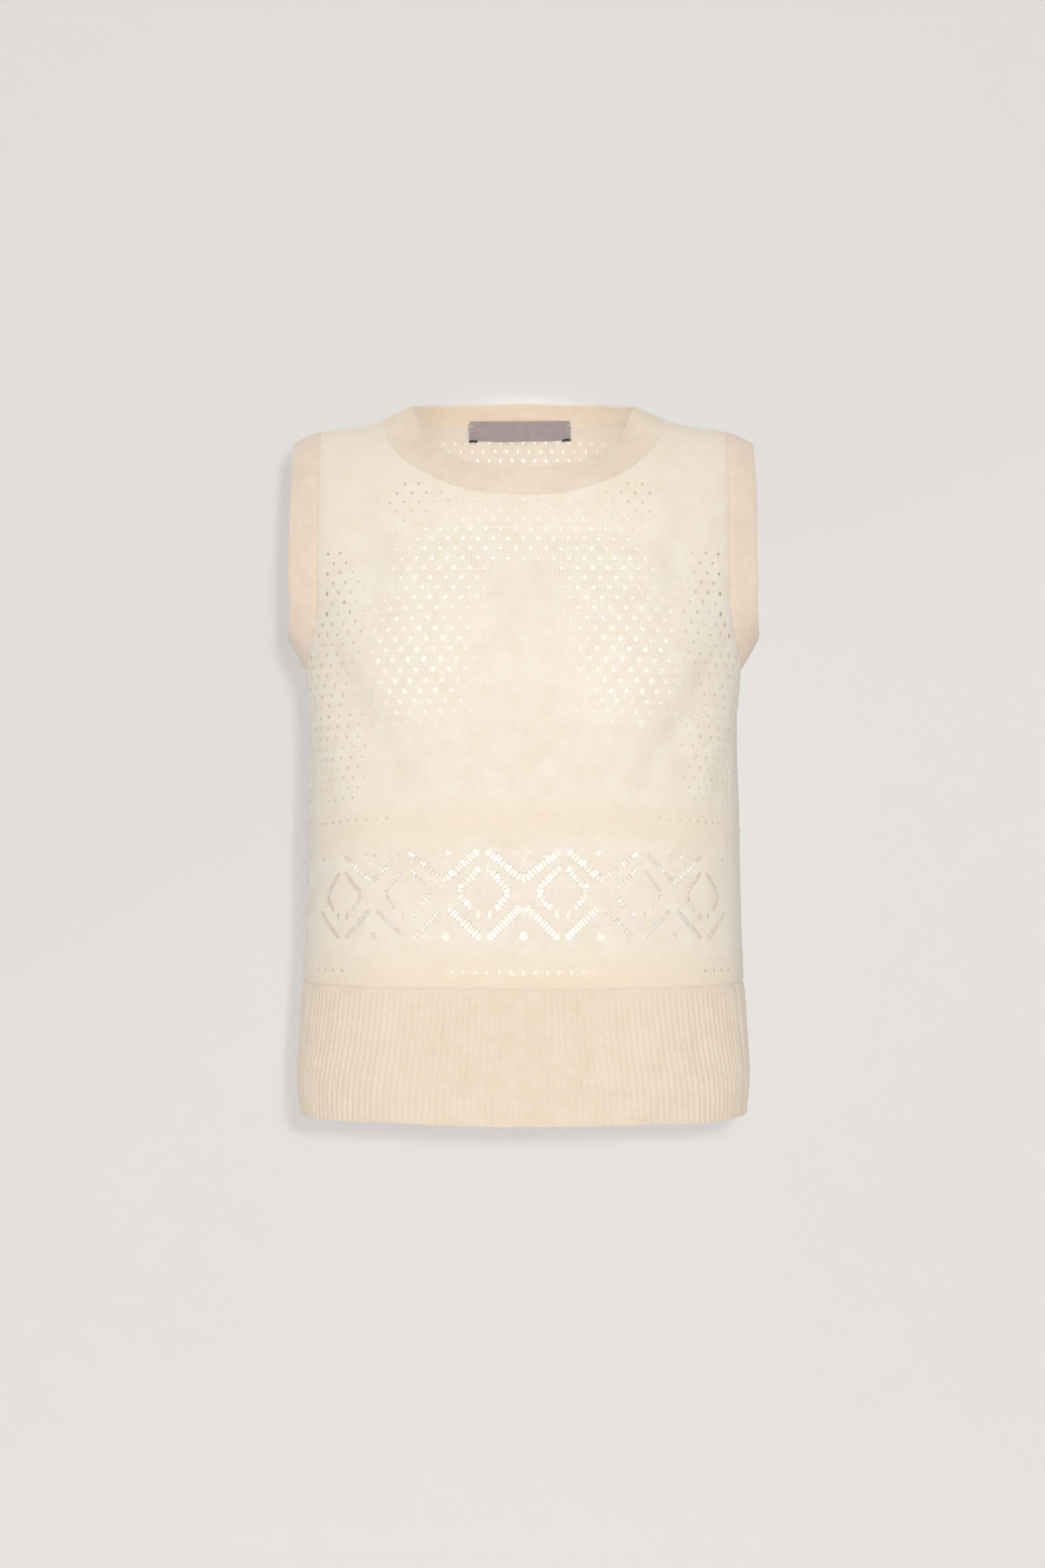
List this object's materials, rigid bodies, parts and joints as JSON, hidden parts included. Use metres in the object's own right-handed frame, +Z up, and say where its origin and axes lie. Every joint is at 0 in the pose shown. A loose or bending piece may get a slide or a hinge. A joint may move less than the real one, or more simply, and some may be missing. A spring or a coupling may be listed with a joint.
{
  "type": "sweater vest",
  "caption": "Sleeveless knitted vest filled out as worn, with a round neck, ribbed bands at neck, armholes and hem, and a band of diamond openwork across the waist.",
  "frame": {"origin": "between the tops of the shoulders, where the garment rests on whatever wears or holds it", "axes": "+Z up through the neck, -Y towards the front of the garment, +X towards the wearer's left"},
  "size_m": [0.375, 0.2236, 0.5765],
  "materials": {
    "body_knit": "cream heathered fine wool knit, soft and slightly hairy",
    "rib_knit": "the same wool in one by one rib",
    "band_knit": "the same wool in a tight fine rib",
    "label_satin": "grey mauve satin tape, blank"
  },
  "bodies": {
    "root": {"front_panel": "body_knit", "back_panel": "body_knit", "front_hem_rib": "rib_knit", "back_hem_rib": "rib_knit", "neckband": "band_knit", "armhole_band_left": "band_knit", "armhole_band_right": "band_knit", "neck_label": "label_satin"}
  },
  "joints": []
}
